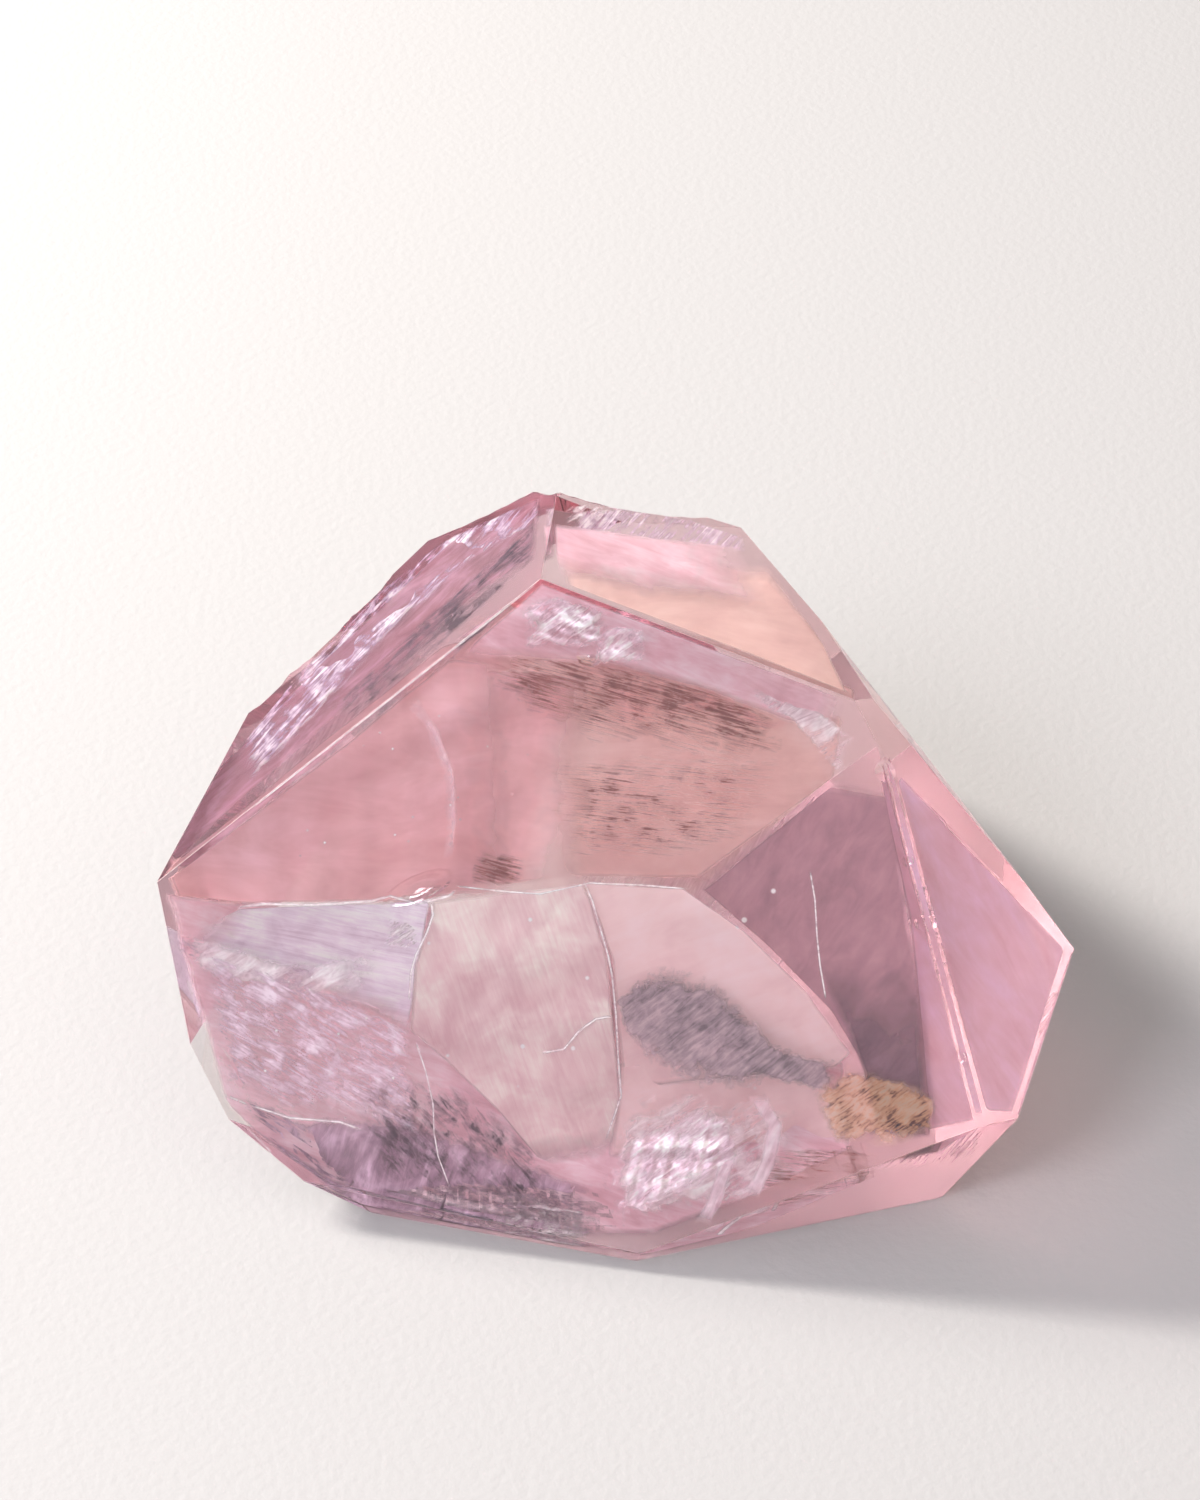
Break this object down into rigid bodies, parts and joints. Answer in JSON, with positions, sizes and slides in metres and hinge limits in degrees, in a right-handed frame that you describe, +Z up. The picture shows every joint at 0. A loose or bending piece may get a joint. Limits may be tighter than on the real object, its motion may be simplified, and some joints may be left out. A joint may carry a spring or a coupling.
{
  "type": "rose quartz specimen",
  "caption": "Clear pink quartz stone in a free form with flat polished faces, resting on its flat base; for display.",
  "frame": {"origin": "middle of the stone's outer box, at the height of the flat base it rests on", "axes": "+Z up, +X to the right along the stone's longest extent as the picture shows it, -Y towards the viewer"},
  "size_m": [0.0598, 0.0538, 0.0373],
  "materials": {
    "rose_quartz": "polished, clear pale pink"
  },
  "bodies": {
    "root": {"rose_quartz": "rose_quartz"}
  },
  "joints": []
}
